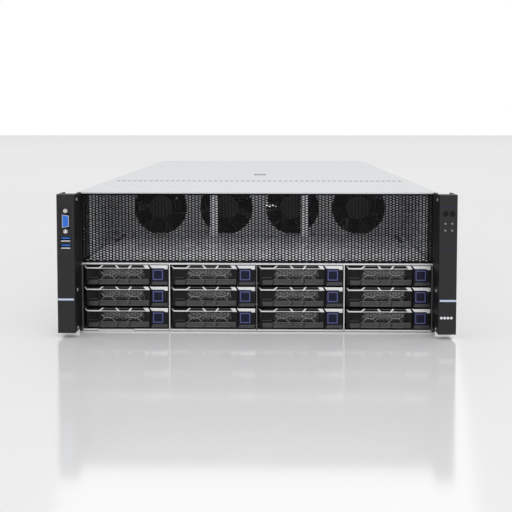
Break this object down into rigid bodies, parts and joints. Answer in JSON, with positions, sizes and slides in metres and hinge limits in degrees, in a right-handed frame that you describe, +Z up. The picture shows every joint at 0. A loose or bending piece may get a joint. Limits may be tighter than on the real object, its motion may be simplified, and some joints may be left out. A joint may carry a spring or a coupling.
{
  "type": "rack server",
  "caption": "Four-unit 19-inch rack server for accelerator cards, with hot-swap drive carriers under a perforated intake, fans, supplies and a sliding lid.",
  "frame": {"origin": "middle of the footprint, on the underside of the base pan", "axes": "+Y runs from the front to the rear, +X to the right as seen from the front, +Z up"},
  "size_m": [0.4826, 0.856, 0.175],
  "materials": {
    "zinc_steel": "galvanised sheet",
    "bright_steel": "bare bright sheet",
    "lid_paint": "pale silver powder coat",
    "black_mesh": "satin black",
    "grey_plastic": "satin",
    "board": "solder mask",
    "card_shroud": "anodised dark",
    "ear_plastic": "fine satin",
    "key_plastic": "satin",
    "fan_plastic": "moulded",
    "supply_case": "plated sheet",
    "carrier_metal": "satin black",
    "lever_plastic": "satin black with a silver trim",
    "blue_plastic": "satin"
  },
  "bodies": {
    "chassis": {"chassis_tub": "zinc_steel", "rear_panel": "zinc_steel", "front_top_panel": "lid_paint", "drive_cage": "bright_steel", "drive_backplane": "board", "intake_mesh": "black_mesh", "fan_wall": "bright_steel", "circuit_boards": "board", "accelerator_cards": "card_shroud", "left_ear": "ear_plastic", "right_ear": "ear_plastic"},
    "cover": {"top_cover": "lid_paint"},
    "latch": {"cover_latch": "grey_plastic"},
    "tag": {"info_tag": "bright_steel"},
    "power_key": {"power_button": "key_plastic"},
    "id_key": {"id_button": "key_plastic"},
    "fan_1": {"fan_rotor_1": "fan_plastic"},
    "fan_2": {"fan_rotor_2": "fan_plastic"},
    "fan_3": {"fan_rotor_3": "fan_plastic"},
    "fan_4": {"fan_rotor_4": "fan_plastic"},
    "supply_1": {"power_supply_1": "supply_case"},
    "supply_2": {"power_supply_2": "supply_case"},
    "supply_3": {"power_supply_3": "supply_case"},
    "supply_4": {"power_supply_4": "supply_case"},
    "carrier_11": {"drive_carrier_11": "carrier_metal"},
    "lever_11": {"drive_lever_11": "lever_plastic"},
    "button_11": {"drive_button_11": "blue_plastic"},
    "carrier_12": {"drive_carrier_12": "carrier_metal"},
    "lever_12": {"drive_lever_12": "lever_plastic"},
    "button_12": {"drive_button_12": "blue_plastic"},
    "carrier_13": {"drive_carrier_13": "carrier_metal"},
    "lever_13": {"drive_lever_13": "lever_plastic"},
    "button_13": {"drive_button_13": "blue_plastic"},
    "carrier_14": {"drive_carrier_14": "carrier_metal"},
    "lever_14": {"drive_lever_14": "lever_plastic"},
    "button_14": {"drive_button_14": "blue_plastic"},
    "carrier_21": {"drive_carrier_21": "carrier_metal"},
    "lever_21": {"drive_lever_21": "lever_plastic"},
    "button_21": {"drive_button_21": "blue_plastic"},
    "carrier_22": {"drive_carrier_22": "carrier_metal"},
    "lever_22": {"drive_lever_22": "lever_plastic"},
    "button_22": {"drive_button_22": "blue_plastic"},
    "carrier_23": {"drive_carrier_23": "carrier_metal"},
    "lever_23": {"drive_lever_23": "lever_plastic"},
    "button_23": {"drive_button_23": "blue_plastic"},
    "carrier_24": {"drive_carrier_24": "carrier_metal"},
    "lever_24": {"drive_lever_24": "lever_plastic"},
    "button_24": {"drive_button_24": "blue_plastic"},
    "carrier_31": {"drive_carrier_31": "carrier_metal"},
    "lever_31": {"drive_lever_31": "lever_plastic"},
    "button_31": {"drive_button_31": "blue_plastic"},
    "carrier_32": {"drive_carrier_32": "carrier_metal"},
    "lever_32": {"drive_lever_32": "lever_plastic"},
    "button_32": {"drive_button_32": "blue_plastic"},
    "carrier_33": {"drive_carrier_33": "carrier_metal"},
    "lever_33": {"drive_lever_33": "lever_plastic"},
    "button_33": {"drive_button_33": "blue_plastic"},
    "carrier_34": {"drive_carrier_34": "carrier_metal"},
    "lever_34": {"drive_lever_34": "lever_plastic"},
    "button_34": {"drive_button_34": "blue_plastic"}
  },
  "joints": [
    {"name": "cover_slide", "type": "slide", "parent": "chassis", "child": "cover", "axis": [0, 1, 0], "range_m": [0, 0.02]},
    {"name": "latch_lift", "type": "hinge", "parent": "cover", "child": "latch", "pos_m": [0, -0.071, 0.1716], "axis": [1, 0, 0], "range_deg": [0, 70]},
    {"name": "tag_pull", "type": "slide", "parent": "chassis", "child": "tag", "axis": [0, -1, 0], "range_m": [0, 0.06]},
    {"name": "power_press", "type": "slide", "parent": "chassis", "child": "power_key", "axis": [0, 1, 0], "range_m": [0, 0.001], "stiffness_N_per_m": 300},
    {"name": "id_press", "type": "slide", "parent": "chassis", "child": "id_key", "axis": [0, 1, 0], "range_m": [0, 0.001], "stiffness_N_per_m": 300},
    {"name": "fan_spin_1", "type": "hinge", "parent": "chassis", "child": "fan_1", "pos_m": [-0.1575, -0.0978, 0.1261], "axis": [0, 1, 0], "continuous": true},
    {"name": "fan_spin_2", "type": "hinge", "parent": "chassis", "child": "fan_2", "pos_m": [-0.0525, -0.0978, 0.1261], "axis": [0, 1, 0], "continuous": true},
    {"name": "fan_spin_3", "type": "hinge", "parent": "chassis", "child": "fan_3", "pos_m": [0.0525, -0.0978, 0.1261], "axis": [0, 1, 0], "continuous": true},
    {"name": "fan_spin_4", "type": "hinge", "parent": "chassis", "child": "fan_4", "pos_m": [0.1575, -0.0978, 0.1261], "axis": [0, 1, 0], "continuous": true},
    {"name": "supply_pull_1", "type": "slide", "parent": "chassis", "child": "supply_1", "axis": [0, 1, 0], "range_m": [0, 0.24]},
    {"name": "supply_pull_2", "type": "slide", "parent": "chassis", "child": "supply_2", "axis": [0, 1, 0], "range_m": [0, 0.24]},
    {"name": "supply_pull_3", "type": "slide", "parent": "chassis", "child": "supply_3", "axis": [0, 1, 0], "range_m": [0, 0.24]},
    {"name": "supply_pull_4", "type": "slide", "parent": "chassis", "child": "supply_4", "axis": [0, 1, 0], "range_m": [0, 0.24]},
    {"name": "carrier_pull_11", "type": "slide", "parent": "chassis", "child": "carrier_11", "axis": [0, -1, 0], "range_m": [0, 0.17]},
    {"name": "lever_swing_11", "type": "hinge", "parent": "carrier_11", "child": "lever_11", "pos_m": [-0.2129, -0.3918, 0.0709], "axis": [0, 0, -1], "range_deg": [0, 60]},
    {"name": "button_press_11", "type": "slide", "parent": "carrier_11", "child": "button_11", "axis": [0, 1, 0], "range_m": [0, 0.0015], "stiffness_N_per_m": 300},
    {"name": "carrier_pull_12", "type": "slide", "parent": "chassis", "child": "carrier_12", "axis": [0, -1, 0], "range_m": [0, 0.17]},
    {"name": "lever_swing_12", "type": "hinge", "parent": "carrier_12", "child": "lever_12", "pos_m": [-0.1037, -0.3918, 0.0709], "axis": [0, 0, -1], "range_deg": [0, 60]},
    {"name": "button_press_12", "type": "slide", "parent": "carrier_12", "child": "button_12", "axis": [0, 1, 0], "range_m": [0, 0.0015], "stiffness_N_per_m": 300},
    {"name": "carrier_pull_13", "type": "slide", "parent": "chassis", "child": "carrier_13", "axis": [0, -1, 0], "range_m": [0, 0.17]},
    {"name": "lever_swing_13", "type": "hinge", "parent": "carrier_13", "child": "lever_13", "pos_m": [0.0055, -0.3918, 0.0709], "axis": [0, 0, -1], "range_deg": [0, 60]},
    {"name": "button_press_13", "type": "slide", "parent": "carrier_13", "child": "button_13", "axis": [0, 1, 0], "range_m": [0, 0.0015], "stiffness_N_per_m": 300},
    {"name": "carrier_pull_14", "type": "slide", "parent": "chassis", "child": "carrier_14", "axis": [0, -1, 0], "range_m": [0, 0.17]},
    {"name": "lever_swing_14", "type": "hinge", "parent": "carrier_14", "child": "lever_14", "pos_m": [0.1147, -0.3918, 0.0709], "axis": [0, 0, -1], "range_deg": [0, 60]},
    {"name": "button_press_14", "type": "slide", "parent": "carrier_14", "child": "button_14", "axis": [0, 1, 0], "range_m": [0, 0.0015], "stiffness_N_per_m": 300},
    {"name": "carrier_pull_21", "type": "slide", "parent": "chassis", "child": "carrier_21", "axis": [0, -1, 0], "range_m": [0, 0.17]},
    {"name": "lever_swing_21", "type": "hinge", "parent": "carrier_21", "child": "lever_21", "pos_m": [-0.2129, -0.3918, 0.04385], "axis": [0, 0, -1], "range_deg": [0, 60]},
    {"name": "button_press_21", "type": "slide", "parent": "carrier_21", "child": "button_21", "axis": [0, 1, 0], "range_m": [0, 0.0015], "stiffness_N_per_m": 300},
    {"name": "carrier_pull_22", "type": "slide", "parent": "chassis", "child": "carrier_22", "axis": [0, -1, 0], "range_m": [0, 0.17]},
    {"name": "lever_swing_22", "type": "hinge", "parent": "carrier_22", "child": "lever_22", "pos_m": [-0.1037, -0.3918, 0.04385], "axis": [0, 0, -1], "range_deg": [0, 60]},
    {"name": "button_press_22", "type": "slide", "parent": "carrier_22", "child": "button_22", "axis": [0, 1, 0], "range_m": [0, 0.0015], "stiffness_N_per_m": 300},
    {"name": "carrier_pull_23", "type": "slide", "parent": "chassis", "child": "carrier_23", "axis": [0, -1, 0], "range_m": [0, 0.17]},
    {"name": "lever_swing_23", "type": "hinge", "parent": "carrier_23", "child": "lever_23", "pos_m": [0.0055, -0.3918, 0.04385], "axis": [0, 0, -1], "range_deg": [0, 60]},
    {"name": "button_press_23", "type": "slide", "parent": "carrier_23", "child": "button_23", "axis": [0, 1, 0], "range_m": [0, 0.0015], "stiffness_N_per_m": 300},
    {"name": "carrier_pull_24", "type": "slide", "parent": "chassis", "child": "carrier_24", "axis": [0, -1, 0], "range_m": [0, 0.17]},
    {"name": "lever_swing_24", "type": "hinge", "parent": "carrier_24", "child": "lever_24", "pos_m": [0.1147, -0.3918, 0.04385], "axis": [0, 0, -1], "range_deg": [0, 60]},
    {"name": "button_press_24", "type": "slide", "parent": "carrier_24", "child": "button_24", "axis": [0, 1, 0], "range_m": [0, 0.0015], "stiffness_N_per_m": 300},
    {"name": "carrier_pull_31", "type": "slide", "parent": "chassis", "child": "carrier_31", "axis": [0, -1, 0], "range_m": [0, 0.17]},
    {"name": "lever_swing_31", "type": "hinge", "parent": "carrier_31", "child": "lever_31", "pos_m": [-0.2129, -0.3918, 0.0168], "axis": [0, 0, -1], "range_deg": [0, 60]},
    {"name": "button_press_31", "type": "slide", "parent": "carrier_31", "child": "button_31", "axis": [0, 1, 0], "range_m": [0, 0.0015], "stiffness_N_per_m": 300},
    {"name": "carrier_pull_32", "type": "slide", "parent": "chassis", "child": "carrier_32", "axis": [0, -1, 0], "range_m": [0, 0.17]},
    {"name": "lever_swing_32", "type": "hinge", "parent": "carrier_32", "child": "lever_32", "pos_m": [-0.1037, -0.3918, 0.0168], "axis": [0, 0, -1], "range_deg": [0, 60]},
    {"name": "button_press_32", "type": "slide", "parent": "carrier_32", "child": "button_32", "axis": [0, 1, 0], "range_m": [0, 0.0015], "stiffness_N_per_m": 300},
    {"name": "carrier_pull_33", "type": "slide", "parent": "chassis", "child": "carrier_33", "axis": [0, -1, 0], "range_m": [0, 0.17]},
    {"name": "lever_swing_33", "type": "hinge", "parent": "carrier_33", "child": "lever_33", "pos_m": [0.0055, -0.3918, 0.0168], "axis": [0, 0, -1], "range_deg": [0, 60]},
    {"name": "button_press_33", "type": "slide", "parent": "carrier_33", "child": "button_33", "axis": [0, 1, 0], "range_m": [0, 0.0015], "stiffness_N_per_m": 300},
    {"name": "carrier_pull_34", "type": "slide", "parent": "chassis", "child": "carrier_34", "axis": [0, -1, 0], "range_m": [0, 0.17]},
    {"name": "lever_swing_34", "type": "hinge", "parent": "carrier_34", "child": "lever_34", "pos_m": [0.1147, -0.3918, 0.0168], "axis": [0, 0, -1], "range_deg": [0, 60]},
    {"name": "button_press_34", "type": "slide", "parent": "carrier_34", "child": "button_34", "axis": [0, 1, 0], "range_m": [0, 0.0015], "stiffness_N_per_m": 300}
  ]
}
